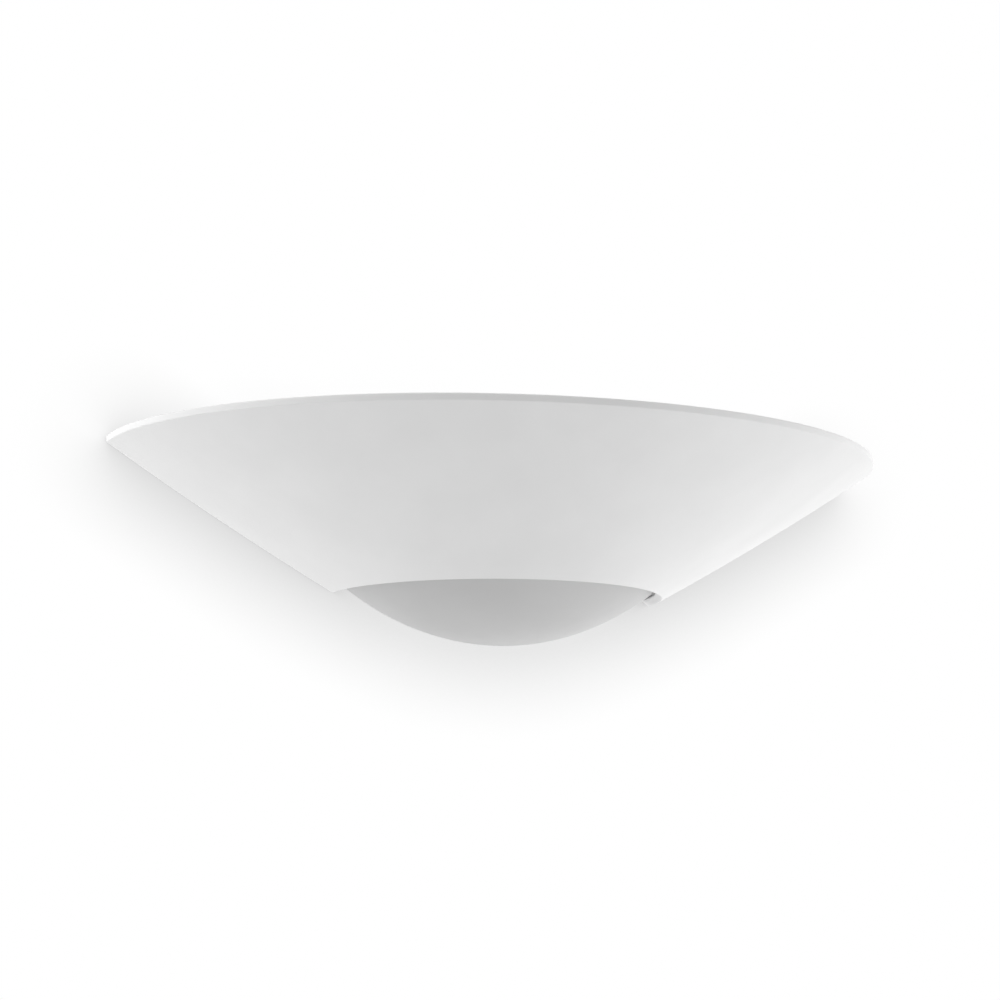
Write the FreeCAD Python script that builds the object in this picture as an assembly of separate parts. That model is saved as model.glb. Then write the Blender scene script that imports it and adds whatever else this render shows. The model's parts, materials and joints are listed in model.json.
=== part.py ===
import FreeCAD, Part
import math
import os

# Uplighter wall sconce: a ceramic half-bowl shade with an opal glass half-dish in its bottom opening,
# hung on a folded steel wall bracket that carries one lamp lying across the inside.
# Millimetres. The wall is the plane y = 0, the light stands out of it towards -Y, and +Z is up.
# The origin is the middle of the two wall slots, on the wall.

V = FreeCAD.Vector
X_AXIS = V(1, 0, 0)
Y_AXIS = V(0, 1, 0)
Z_AXIS = V(0, 0, 1)

# shade
RIM_Z = 23.0              # top of the rim above the wall slots
RIM_HALF_WIDTH = 185.0
RIM_DEPTH = 155.2         # how far the rim stands out of the wall
RIM_BAND = 3.1            # height of the upright band round the rim
SHADE_HEIGHT = 66.5
OPENING_R = 79.1          # outer radius of the round bottom edge
BELLY = 2.3               # outward swell of the slope, halfway down
WALL_RISE = 5.6           # the inside is the outside raised by this
RIM_ROUND = 0.9
SHADE_BACK_Y = -0.8       # the shade's back edge, which felt strips keep off the wall
EDGE_SLOPE = (0.785, 0.620)   # the bottom edge is cut inward and up along this direction

# glass dish: part of a ball, resting in the shade's opening
GLASS_R = 124.0
GLASS_THICK = 3.0
GLASS_DROP = 21.9         # how far it shows below the shade
GLASS_RIM_R = 80.0
GLASS_BACK_Y = -2.0
GLASS_GAP = 1.0           # between glass and ceramic seat
CUSHION_THICK = 0.7
CUSHION_R = 2.5
CUSHION_ANGLES = (210, 270, 330)

# shade ears and the hooks they hang on
EAR_X = (99.0, 129.0)
EAR_Y = (-17.0, -10.0)
EAR_TOP = 12.0
HOOK_X = 114.0
HOOK_WIDTH = 14.0
HOOK_STEEL = 1.5
HOOK_SHELF_TOP = 2.5
HOOK_LIP_TOP = 8.5
HOOK_BASE_TOP = 14.0
SLEEVE_THICK = 1.0
HANG_GAP = 0.3
WINDOW_HALF = 7.6
WINDOW_BOTTOM = -6.0

# wall bracket
PLATE_HALF_WIDTH = 126.0
PLATE_HALF_HEIGHT = 16.0
PLATE_END_BOTTOM = -3.0
PLATE_TAPER_X = 96.0
PLATE_DEPTH = 6.0
PLATE_STEEL = 1.2
SLOT_SPACING = 56.0
SLOT_LENGTH = 12.0
SLOT_WIDTH = 5.0
CABLE_BORE_R = 4.0
GROMMET_HOLE_R = 6.5
RIVET_Z = 10.5
RIVET_STEPS = (-4.0, 4.0)

# lampholder and lamp, on one axis along X
AXIS_Y = -46.0
AXIS_Z = -6.0
ARM_X = -87.0
ARM_STEEL = 1.5
ARM_Z = (-15.0, 3.0)
ARM_REACH = -60.0
ARM_SCREW_X = (-77.0, -65.0)
NIPPLE_R = 5.0
NIPPLE_BORE_R = 3.6
HOLDER_R = 18.0
INSERT_X = (-67.0, -57.0)
INSERT_TERMINAL = 7.0
SKIRT_END_X = -30.0
LAMP_TIP_X = -55.2
LAMP_LENGTH = 98.0
GLOBE_R = 27.5
NECK_R = 12.8
NECK_CURVE_R = 45.0
GLOBE_THICK = 0.8
GLOBE_TIP_R = 0.6         # small flat where the glass was sealed
THREAD_PITCH = 3.629
THREAD_CREST_R = 13.1
THREAD_ROOT_R = 11.9
GLOBE_END_X = -34.0
STEM_END_X = 2.0
FILAMENT_X = 17.0
FILAMENT_HALF = 9.0

# wiring
WIRE_R = 1.2
BLOCK_X = (48.0, 78.0)
BLOCK_Z = 9.0
BLOCK_FRONT_Y = -21.0
BLOCK_SCREW_X = (58.0, 68.0)
POLE_X = (53.0, 63.0, 73.0)
BARREL_Y = -12.0
BARREL_R = 2.6
BARREL_BORE_R = 1.6
BARREL_HALF = 8.0
TERMINAL_Z = 4.6
CLIP_X = (14.0, -46.0)
CLIP_LEG_Z = 5.6
LIVE_Z = 13.5
NEUTRAL_Z = 10.8
EARTH_X = 92.0

PLATE_FRONT_Y = -PLATE_DEPTH
EARTH_WIRE_Y = PLATE_FRONT_Y - 2.0
HOLDER_SEAT_X = ARM_X + ARM_STEEL
FAR = 400.0


def box(x, y, z):
    return Part.makeBox(x[1] - x[0], y[1] - y[0], z[1] - z[0], V(x[0], y[0], z[0]))


def rod(radius, start, end):
    start = V(*start)
    run = V(*end) - start
    return Part.makeCylinder(radius, run.Length, start, run)


def ring(outer, inner, start, end):
    return rod(outer, start, end).cut(rod(inner, start, end))


def prism_y(points, y):
    """A solid whose outline in X and Z runs from y[0] to y[1]."""
    outline = Part.makePolygon([V(px, y[0], pz) for px, pz in points + points[:1]])
    return Part.Face(outline).extrude(V(0, y[1] - y[0], 0))


def turned_x(profile):
    """A solid of revolution about the lamp's axis, from (x, radius) points."""
    points = [V(px, AXIS_Y, AXIS_Z + pr) for px, pr in profile + profile[:1]]
    face = Part.Face(Part.makePolygon(points))
    return face.revolve(V(0, AXIS_Y, AXIS_Z), X_AXIS, 360)


def turned_z(profile):
    """A solid of revolution about the vertical line through the origin, from (radius, z) points."""
    points = [V(pr, 0, pz) for pr, pz in profile + profile[:1]]
    return Part.Face(Part.makePolygon(points)).revolve(V(0, 0, 0), Z_AXIS, 360)


def rounded_y(solid, radius):
    """Rounds the edges that run along Y."""
    edges = [e for e in solid.Edges if abs(e.tangentAt(e.FirstParameter).dot(Y_AXIS)) > 0.999
             and isinstance(e.Curve, Part.Line)]
    return solid.makeFillet(radius, edges)


def hexagon_y(across_flats, x, z, y):
    corner = across_flats / math.sqrt(3)
    points = [(x + corner * math.cos(math.radians(60 * i)), z + corner * math.sin(math.radians(60 * i)))
              for i in range(6)]
    return prism_y(points, y)


def pan_head_screw(x, z, seat_y, length, thread_r, head_r, head_height):
    """A screw driven along +Y, with a crossed recess in its head."""
    head = rod(head_r, (x, seat_y, z), (x, seat_y - head_height, z))
    rim = [e for e in head.Edges if isinstance(e.Curve, Part.Circle)
           and abs(e.Curve.Center.y - (seat_y - head_height)) < 0.01]
    head = head.makeFillet(head_height * 0.45, rim)
    shank = rod(thread_r, (x, seat_y, z), (x, seat_y + length, z))
    deep = (seat_y - head_height - 1, seat_y - head_height * 0.5)
    arm = head_r * 0.55
    blade = head_r * 0.13
    recess = box((x - arm, x + arm), deep, (z - blade, z + blade))
    recess = recess.fuse(box((x - blade, x + blade), deep, (z - arm, z + arm)))
    return head.fuse(shank).cut(recess)


def mirrored(solid):
    return solid.mirror(V(0, 0, 0), X_AXIS)


def tube(points, radii, radius):
    """A round wire along straight runs joined by tangent arcs, one bend radius for each inner point."""
    points = [V(*p) for p in points]
    edges = []
    start = points[0]
    length = 0.0
    for i in range(1, len(points) - 1):
        back = (points[i - 1] - points[i]).normalize()
        ahead = (points[i + 1] - points[i]).normalize()
        half = back.getAngle(ahead) / 2
        reach = radii[i - 1] / math.tan(half)
        middle = (back + ahead).normalize() * (radii[i - 1] / math.sin(half) - radii[i - 1])
        arc_start = points[i] + back * reach
        arc_end = points[i] + ahead * reach
        edges.append(Part.LineSegment(start, arc_start).toShape())
        edges.append(Part.Arc(arc_start, points[i] + middle, arc_end).toShape())
        length += (arc_start - start).Length + radii[i - 1] * (math.pi - 2 * half)
        start = arc_end
    edges.append(Part.LineSegment(start, points[-1]).toShape())
    length += (points[-1] - start).Length
    path = Part.Wire(edges)
    section = Part.Wire(Part.makeCircle(radius, points[0], points[1] - points[0]))
    solid = path.makePipeShell([section], True, False)
    ratio = solid.Volume / (math.pi * radius**2 * length)
    print("wire length", round(length, 1), "volume ratio", round(ratio, 4), "radii", radii)
    return solid


def export(name, shape):
    if isinstance(shape, (list, tuple)):
        shape = Part.makeCompound([piece for item in shape for piece in item.Solids])
    bad = [piece for piece in shape.Solids if not piece.isValid() or piece.Volume <= 0]
    print(name, "solids", len(shape.Solids), "volume", round(shape.Volume, 1), "BAD" if bad else "")
    shape.exportStep("parts/" + name + ".step")


def slope_section(down, rise):
    """The shade's outline at a share of the way down its slope, as a closed ellipse."""
    swell = BELLY * 4 * down * (1 - down)
    half_width = RIM_HALF_WIDTH + (OPENING_R + 0.001 - RIM_HALF_WIDTH) * down + swell
    depth = RIM_DEPTH + (OPENING_R - RIM_DEPTH) * down + swell
    z = RIM_Z - RIM_BAND - (SHADE_HEIGHT - RIM_BAND) * down + rise
    return Part.Wire(Part.Ellipse(V(0, 0, z), half_width, depth).toShape())


def slope_solid(rise):
    return Part.makeLoft([slope_section(step / 4, rise) for step in range(5)], True, False)


def shade_body():
    """The outer form without its hollow: the slope and the upright rim band."""
    band = Part.Face(slope_section(0, 0)).extrude(V(0, 0, RIM_BAND))
    band = band.makeFillet(RIM_ROUND, [e for e in band.Edges if e.BoundBox.ZMin > RIM_Z - 0.01])
    return slope_solid(0).fuse(band)


def glass_centre():
    return V(0, 0, RIM_Z - SHADE_HEIGHT - GLASS_DROP + GLASS_R)


def ear(filled):
    block = rounded_y(box(EAR_X, EAR_Y, (-40, EAR_TOP)), 3)
    block = block.common(filled)
    window = box((HOOK_X - WINDOW_HALF, HOOK_X + WINDOW_HALF), (EAR_Y[0] - 1, EAR_Y[1] + 1),
                 (WINDOW_BOTTOM, HOOK_SHELF_TOP + SLEEVE_THICK + HANG_GAP))
    return block.cut(rounded_y(window, 1.0))


def ceramic_shade():
    filled = shade_body()
    bottom = RIM_Z - SHADE_HEIGHT
    inward, upward = EDGE_SLOPE
    edge_r = OPENING_R + 0.05
    edge_cut = turned_z([(0, bottom - 4 * upward), (edge_r + 4 * inward, bottom - 4 * upward),
                         (edge_r - 10 * inward, bottom + 10 * upward), (0, bottom + 10 * upward)])
    seat = Part.makeSphere(GLASS_R + GLASS_GAP, glass_centre())
    seat = seat.common(box((-FAR, FAR), (-FAR, FAR), (bottom - 30, bottom + 20)))
    shell = filled.cut(slope_solid(WALL_RISE)).cut(seat).cut(edge_cut)
    right_ear = ear(filled)
    shell = shell.fuse([right_ear, mirrored(right_ear)])
    behind = box((-FAR, FAR), (SHADE_BACK_Y, FAR), (-FAR, FAR))
    return shell.cut(behind)


def wall_pads():
    """Felt strips on the shade's back edge, two on each side."""
    pads = []
    for down in (0.22, 0.80):
        swell = BELLY * 4 * down * (1 - down)
        x = RIM_HALF_WIDTH + (OPENING_R - RIM_HALF_WIDTH) * down + swell
        z = RIM_Z - RIM_BAND - (SHADE_HEIGHT - RIM_BAND) * down + WALL_RISE / 2
        pad = rounded_y(box((-12, 12), (SHADE_BACK_Y, -0.1), (-1.4, 1.4)), 1.2)
        slope = math.degrees(math.atan2(SHADE_HEIGHT - RIM_BAND, RIM_HALF_WIDTH - OPENING_R))
        pad.rotate(V(0, 0, 0), Y_AXIS, -slope)
        pad.translate(V(x, 0, z))
        pads += [pad, mirrored(pad)]
    return pads


def glass_rim_z():
    return glass_centre().z - math.sqrt(GLASS_R**2 - GLASS_RIM_R**2)


def glass_bowl():
    centre = glass_centre()
    ball = Part.makeSphere(GLASS_R, centre).cut(Part.makeSphere(GLASS_R - GLASS_THICK, centre))
    keep = box((-FAR, FAR), (-FAR, GLASS_BACK_Y), (-FAR, glass_rim_z()))
    bowl = ball.common(keep)
    rim = [e for e in bowl.Edges if e.BoundBox.ZMin > glass_rim_z() - 0.01 and e.Length > 100]
    return bowl.makeFillet(0.8, rim)


def glass_cushions():
    """Silicone dots on the ceramic seat, under the glass."""
    centre = glass_centre()
    seat_r = GLASS_R + GLASS_GAP
    layer = Part.makeSphere(seat_r, centre).cut(Part.makeSphere(seat_r - CUSHION_THICK, centre))
    tilt = math.asin((OPENING_R - 1.2) / seat_r)
    dots = []
    for angle in CUSHION_ANGLES:
        turn = math.radians(angle)
        out = V(math.sin(tilt) * math.cos(turn), math.sin(tilt) * math.sin(turn), -math.cos(tilt))
        post = Part.makeCylinder(CUSHION_R, 8, centre + out * (seat_r - 4), out)
        dots.append(layer.common(post))
    return dots


def plate_outline(inset):
    side = PLATE_HALF_WIDTH - inset
    top = PLATE_HALF_HEIGHT - inset
    low = PLATE_END_BOTTOM + inset * 0.8
    taper = PLATE_TAPER_X - inset * 0.2
    return [(-side, top), (-side, low), (-taper, -top), (taper, -top), (side, low), (side, top)]


def back_plate():
    """A shallow folded tray whose turned-back edges bear on the wall."""
    tray = rounded_y(prism_y(plate_outline(0), (PLATE_FRONT_Y, 0)), 4)
    front = [e for e in tray.Edges if e.BoundBox.YMax < PLATE_FRONT_Y + 0.01]
    tray = tray.makeFillet(1.2, front)
    inside = prism_y(plate_outline(PLATE_STEEL), (PLATE_FRONT_Y + PLATE_STEEL, 1))
    tray = tray.cut(rounded_y(inside, 4 - PLATE_STEEL))
    through = (PLATE_FRONT_Y - 1, 1)
    half_run = (SLOT_LENGTH - SLOT_WIDTH) / 2
    holes = []
    for side in (-1, 1):
        middle = side * SLOT_SPACING / 2
        half_slot = SLOT_WIDTH / 2
        holes.append(box((middle - half_run, middle + half_run), through, (-half_slot, half_slot)))
        for end in (-half_run, half_run):
            holes.append(rod(half_slot, (middle + end, through[0], 0), (middle + end, through[1], 0)))
    round_holes = [(0, 0, GROMMET_HOLE_R), (EARTH_X, 0, 2.1)]
    round_holes += [(x, AXIS_Z, 2.1) for x in ARM_SCREW_X]
    round_holes += [(x, 0, 1.6) for x in BLOCK_SCREW_X]
    round_holes += [(x, CLIP_LEG_Z, 2.05) for x in CLIP_X]
    round_holes += [(side * (HOOK_X + step), RIVET_Z, 1.6) for side in (-1, 1) for step in RIVET_STEPS]
    for x, z, radius in round_holes:
        holes.append(rod(radius, (x, through[0], z), (x, through[1], z)))
    return tray.cut(holes)


def hook_bracket():
    x = (HOOK_X - HOOK_WIDTH / 2, HOOK_X + HOOK_WIDTH / 2)
    back = PLATE_FRONT_Y
    base_front = back - HOOK_STEEL
    lip_back = EAR_Y[0] - 1.2
    lip_front = lip_back - HOOK_STEEL
    shelf_bottom = HOOK_SHELF_TOP - HOOK_STEEL
    base = box(x, (base_front, back), (shelf_bottom, HOOK_BASE_TOP))
    shelf = box(x, (lip_front, back), (shelf_bottom, HOOK_SHELF_TOP))
    lip = box(x, (lip_front, lip_back), (shelf_bottom, HOOK_LIP_TOP))
    hook = base.fuse([shelf, lip]).removeSplitter()
    along_x = [e for e in hook.Edges if abs(e.tangentAt(e.FirstParameter).dot(X_AXIS)) > 0.999]
    bends = [e for e in along_x if abs(e.BoundBox.ZMin - shelf_bottom) < 0.01
             and (abs(e.BoundBox.YMin - lip_front) < 0.01 or abs(e.BoundBox.YMin - back) < 0.01)]
    hook = hook.makeFillet(1.4, bends)
    corners = [e for e in hook.Edges if isinstance(e.Curve, Part.Line)
               and abs(e.tangentAt(e.FirstParameter).dot(Y_AXIS)) > 0.999
               and e.BoundBox.ZMin > HOOK_SHELF_TOP + 0.1]
    hook = hook.makeFillet(2.0, corners)
    for step in RIVET_STEPS:
        hole = rod(1.6, (HOOK_X + step, base_front - 1, RIVET_Z), (HOOK_X + step, back + 1, RIVET_Z))
        hook = hook.cut(hole)
    return hook


def hook_rivets():
    """Blind rivets: a domed head in front of the hook's base and a set tail behind the plate."""
    seat = PLATE_FRONT_Y - HOOK_STEEL
    tail = PLATE_FRONT_Y + PLATE_STEEL
    rivets = []
    for step in RIVET_STEPS:
        x = HOOK_X + step
        head = rod(2.9, (x, seat, RIVET_Z), (x, seat - 0.9, RIVET_Z))
        rim = [e for e in head.Edges if e.BoundBox.YMax < seat - 0.85]
        head = head.makeFillet(0.6, rim)
        shank = rod(1.55, (x, seat, RIVET_Z), (x, tail + 2.4, RIVET_Z))
        set_tail = rod(2.3, (x, tail, RIVET_Z), (x, tail + 1.6, RIVET_Z))
        rivets.append(head.fuse([shank, set_tail]))
    return rivets


def hook_sleeve():
    """A silicone pad on the hook's shelf, turned up a little behind the lip."""
    x = (HOOK_X - HOOK_WIDTH / 2 + 0.3, HOOK_X + HOOK_WIDTH / 2 - 0.3)
    y = (EAR_Y[0] - 1.2, PLATE_FRONT_Y - HOOK_STEEL)
    flat = box(x, y, (HOOK_SHELF_TOP, HOOK_SHELF_TOP + SLEEVE_THICK))
    upstand = box(x, (y[0], y[0] + 0.6), (HOOK_SHELF_TOP, HOOK_LIP_TOP - 1))
    return flat.fuse(upstand).removeSplitter()


def cable_grommet():
    """A rubber bush gripping the edge of the cable hole."""
    front = PLATE_FRONT_Y
    inner = front + PLATE_STEEL
    collar = 8.5
    body = rod(GROMMET_HOLE_R, (0, front - 1.8, 0), (0, inner + 1.8, 0))
    flange_front = rod(collar, (0, front, 0), (0, front - 1.8, 0))
    flange_back = rod(collar, (0, inner, 0), (0, inner + 1.8, 0))
    bush = body.fuse([flange_front, flange_back])
    outer = [e for e in bush.Edges if isinstance(e.Curve, Part.Circle) and e.Curve.Radius > collar - 0.1
             and (e.BoundBox.YMax < front - 1 or e.BoundBox.YMin > inner + 1)]
    bush = bush.makeFillet(0.8, outer)
    return bush.cut(rod(CABLE_BORE_R, (0, front - 5, 0), (0, inner + 5, 0)))


def terminal_block():
    body = box(BLOCK_X, (BLOCK_FRONT_Y, PLATE_FRONT_Y), (-BLOCK_Z, BLOCK_Z))
    cuts = []
    for x in BLOCK_SCREW_X:
        cuts.append(box((x - 0.8, x + 0.8), (BLOCK_FRONT_Y - 1, -15.0), (-BLOCK_Z - 1, BLOCK_Z + 1)))
        cuts.append(rod(1.6, (x, BLOCK_FRONT_Y, 0), (x, PLATE_FRONT_Y + 1, 0)))
        cuts.append(rod(2.35, (x, BLOCK_FRONT_Y - 1, 0), (x, -11.0, 0)))
    for x in POLE_X:
        cuts.append(rod(BARREL_R, (x, BARREL_Y, -BLOCK_Z - 1), (x, BARREL_Y, BLOCK_Z + 1)))
        for z in (-TERMINAL_Z, TERMINAL_Z):
            cuts.append(rod(2.1, (x, BLOCK_FRONT_Y - 1, z), (x, BARREL_Y, z)))
    return rounded_y(body, 1.5).cut(cuts)


def terminal_barrel(x):
    barrel = ring(BARREL_R, BARREL_BORE_R, (x, BARREL_Y, -BARREL_HALF), (x, BARREL_Y, BARREL_HALF))
    for z in (-TERMINAL_Z, TERMINAL_Z):
        barrel = barrel.cut(rod(1.5, (x, BARREL_Y - 4, z), (x, BARREL_Y, z)))
    return barrel


def terminal_screw(x, z):
    """A slotted grub screw that stands in the barrel's wall and stops short of the wire."""
    tip = BARREL_Y - WIRE_R - 0.15
    screw = rod(1.45, (x, tip, z), (x, -17.5, z))
    slot = box((x - 2, x + 2), (-18, -16.7), (z - 0.3, z + 0.3))
    return screw.cut(slot)


def terminal_block_screws():
    return [pan_head_screw(x, 0, -11.0, 9.4, 1.5, 2.2, 1.8) for x in BLOCK_SCREW_X]


def nut_behind_plate(x, z, across_flats, height, thread_r):
    y = PLATE_FRONT_Y + PLATE_STEEL
    nut = hexagon_y(across_flats, x, z, (y, y + height))
    return nut.cut(rod(thread_r, (x, y - 1, z), (x, y + height + 1, z)))


def earth_screw():
    return pan_head_screw(EARTH_X, 0, PLATE_FRONT_Y - 1.7, 6.9, 2.0, 3.9, 2.6)


def earth_washer():
    """A toothed washer under the screw's head."""
    y = PLATE_FRONT_Y - 0.8
    washer = ring(4.0, 2.15, (EARTH_X, y, 0), (EARTH_X, y - 0.9, 0))
    teeth = []
    for i in range(10):
        turn = math.radians(36 * i)
        notch = box((3.0, 5.0), (y - 2, y + 1), (-0.45, 0.45))
        notch.rotate(V(0, 0, 0), Y_AXIS, math.degrees(turn))
        notch.translate(V(EARTH_X, 0, 0))
        teeth.append(notch)
    return washer.cut(teeth)


def earth_ring_tag():
    """A crimped ring terminal whose barrel points up to the wire."""
    y = PLATE_FRONT_Y
    eye = rod(4.2, (EARTH_X, y, 0), (EARTH_X, y - 0.8, 0))
    neck = box((EARTH_X - 1.8, EARTH_X + 1.8), (y - 0.8, y), (2, 6))
    barrel = rod(2.0, (EARTH_X, EARTH_WIRE_Y, 4.5), (EARTH_X, EARTH_WIRE_Y, 10.0))
    tag = eye.fuse([neck, barrel]).cut(rod(2.1, (EARTH_X, y + 1, 0), (EARTH_X, y - 2, 0)))
    return tag.cut(rod(WIRE_R, (EARTH_X, EARTH_WIRE_Y, 6.5), (EARTH_X, EARTH_WIRE_Y, 11.0)))


def earth_wire():
    x = POLE_X[2]
    top = 14.0
    route = [(x, BARREL_Y, 6.0), (x, BARREL_Y, top), (EARTH_X, EARTH_WIRE_Y, top),
             (EARTH_X, EARTH_WIRE_Y, 6.5)]
    return tube(route, [4.0, 4.0], WIRE_R)


def lampholder_arm():
    """A strip folded once: a foot on the plate and an upright leg that carries the lampholder."""
    front = PLATE_FRONT_Y
    foot = box((ARM_X, -59), (front - ARM_STEEL, front), ARM_Z)
    leg = box((ARM_X, ARM_X + ARM_STEEL), (ARM_REACH, front), ARM_Z)
    arm = foot.fuse(leg).removeSplitter()
    bend = [e for e in arm.Edges if e.BoundBox.YMin > front - 0.01 and e.BoundBox.XMax < ARM_X + 0.01]
    arm = arm.makeFillet(1.4, bend)
    tip = [e for e in arm.Edges if e.BoundBox.YMax < ARM_REACH + 0.01 and abs(e.Length - ARM_STEEL) < 0.01]
    arm = arm.makeFillet(8.0, tip)
    toe = [e for e in arm.Edges if e.BoundBox.XMin > -59.01 and abs(e.Length - ARM_STEEL) < 0.01]
    arm = arm.makeFillet(3.0, toe)
    arm = arm.cut(rod(NIPPLE_R + 0.1, (ARM_X - 1, AXIS_Y, AXIS_Z), (ARM_X + 3, AXIS_Y, AXIS_Z)))
    for x in ARM_SCREW_X:
        arm = arm.cut(rod(2.1, (x, front - 3, AXIS_Z), (x, front + 1, AXIS_Z)))
    return arm


def arm_screws():
    seat = PLATE_FRONT_Y - ARM_STEEL
    return [pan_head_screw(x, AXIS_Z, seat, 6.4, 2.0, 3.9, 2.6) for x in ARM_SCREW_X]


def holder_nipple():
    return turned_x([(ARM_X - 8.0, NIPPLE_BORE_R), (ARM_X - 8.0, NIPPLE_R - 0.5), (ARM_X - 7.5, NIPPLE_R),
                     (ARM_X + 9.5, NIPPLE_R), (ARM_X + 10.0, NIPPLE_R - 0.5), (ARM_X + 10.0, NIPPLE_BORE_R)])


def nipple_nut():
    corner = 14.0 / math.sqrt(3)
    points = []
    for i in range(7):
        turn = math.radians(60 * i)
        points.append(V(ARM_X - 5.0, AXIS_Y + corner * math.cos(turn), AXIS_Z + corner * math.sin(turn)))
    nut = Part.Face(Part.makePolygon(points)).extrude(V(4.0, 0, 0))
    return nut.cut(rod(NIPPLE_R, (ARM_X - 6, AXIS_Y, AXIS_Z), (ARM_X, AXIS_Y, AXIS_Z)))


def nipple_washer():
    washer = ring(8.6, NIPPLE_R + 0.05, (ARM_X - 1.0, AXIS_Y, AXIS_Z), (ARM_X, AXIS_Y, AXIS_Z))
    notches = []
    for i in range(12):
        notch = box((ARM_X - 2, ARM_X + 1), (-0.5, 0.5), (7.0, 10.0))
        notch.rotate(V(0, 0, 0), X_AXIS, 30 * i)
        notch.translate(V(0, AXIS_Y, AXIS_Z))
        notches.append(notch)
    return washer.cut(notches)


def holder_cap():
    """A hollow bell: a threaded neck on the arm, flaring to the rim that the skirt screws onto."""
    outer = [(HOLDER_SEAT_X, NIPPLE_R), (HOLDER_SEAT_X, 8.0), (HOLDER_SEAT_X + 0.8, 8.8), (-79.0, 8.8),
             (-77.5, 10.0), (-74.0, 15.0), (-71.5, 17.0), (-68.5, HOLDER_R), (-62.2, HOLDER_R), (-61.8, 17.4)]
    inner = [(-61.8, 15.2), (-67.0, 15.2), (-70.0, 14.6), (-73.0, 12.0), (-76.0, 8.0), (-77.0, NIPPLE_R)]
    return turned_x(outer + inner)


def holder_insert():
    """A stepped ceramic disc between cap and skirt, with two terminal pockets at its back."""
    disc = turned_x([(INSERT_X[0], 0), (INSERT_X[0], 14.9), (-61.8, 14.9), (-61.8, 16.9),
                     (-59.8, 16.9), (-59.8, 15.0), (INSERT_X[1], 15.0), (INSERT_X[1], 0)])
    cuts = []
    for side in (-1, 1):
        y = AXIS_Y + side * INSERT_TERMINAL
        cuts.append(rod(1.7, (INSERT_X[0] - 1, y, AXIS_Z), (INSERT_X[0] + 5, y, AXIS_Z)))
        cuts.append(rod(1.8, (-64.5, y, AXIS_Z + 12), (-64.5, y, AXIS_Z)))
    return disc.cut(cuts)


def holder_terminal_screws():
    screws = []
    for side in (-1, 1):
        y = AXIS_Y + side * INSERT_TERMINAL
        screw = rod(1.5, (-64.5, y, AXIS_Z + WIRE_R + 0.2), (-64.5, y, AXIS_Z + 9))
        slot = box((-64.8, -64.2), (y - 2, y + 2), (AXIS_Z + 8.3, AXIS_Z + 10))
        screws.append(screw.cut(slot))
    return screws


def holder_skirt():
    """The outer sleeve, with grip ribs near the cap and a lip at the mouth."""
    mouth = SKIRT_END_X
    sleeve = turned_x([(-61.6, 17.0), (-61.6, HOLDER_R), (mouth - 0.8, HOLDER_R), (mouth, HOLDER_R - 0.8),
                       (mouth, 14.8), (mouth - 0.6, 14.2), (mouth - 2.4, 14.2), (mouth - 2.4, 16.0),
                       (-59.8, 16.0), (-59.8, 17.0)])
    grooves = []
    for i in range(36):
        groove = box((-61.0, -48.0), (-0.45, 0.45), (HOLDER_R - 0.5, HOLDER_R + 1))
        groove.rotate(V(0, 0, 0), X_AXIS, 10 * i)
        groove.translate(V(0, AXIS_Y, AXIS_Z))
        grooves.append(groove)
    return sleeve.cut(grooves)


def holder_screw_shell():
    """The threaded contact sleeve; the thread is left plain at its crest."""
    return turned_x([(INSERT_X[1], 13.4), (INSERT_X[1], 13.8), (-33.0, 13.8), (-32.6, 14.0), (-32.6, 13.6),
                     (-33.0, 13.4)])


def holder_centre_contact():
    """A bowed bronze leaf riveted to the insert."""
    start = INSERT_X[1]
    leaf = box((start, start + 0.5), (AXIS_Y - 9, AXIS_Y + 5), (AXIS_Z - 2.5, AXIS_Z + 2.5))
    button = rod(2.5, (start, AXIS_Y, AXIS_Z), (LAMP_TIP_X - 0.35, AXIS_Y, AXIS_Z))
    rivet = rod(1.4, (start, AXIS_Y - 7, AXIS_Z), (start + 1.1, AXIS_Y - 7, AXIS_Z))
    return leaf.fuse([button, rivet])


def holder_side_contact():
    """A strip from the insert that bears on the outside of the screw shell."""
    x = (INSERT_X[1], -47.0)
    return box(x, (AXIS_Y - 2, AXIS_Y + 2), (AXIS_Z - 14.5, AXIS_Z - 13.9))


def lamp_wire(side, tray_z, turn_x, rise, lead_in):
    """One core: terminal block, along the plate, over the arm and back through the nipple."""
    x = POLE_X[0] if side < 0 else POLE_X[1]
    nipple_y = AXIS_Y + side * 1.3
    run_y = PLATE_FRONT_Y - WIRE_R - 1.2
    pocket_y = AXIS_Y + side * INSERT_TERMINAL
    route = [(x, BARREL_Y, 6.0), (x, BARREL_Y, tray_z), (x - 13, run_y, tray_z),
             (-86 + lead_in, run_y, tray_z), (-94 + lead_in, -14, tray_z), (turn_x, -40 - side * 2, rise),
             (turn_x, nipple_y, AXIS_Z), (-74, nipple_y, AXIS_Z), (-69, pocket_y, AXIS_Z),
             (-63.5, pocket_y, AXIS_Z)]
    return tube(route, [2.6, 6.0, 7.0, 8.0, 6.5, 5.5, 2.6, 2.0], WIRE_R)


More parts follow.
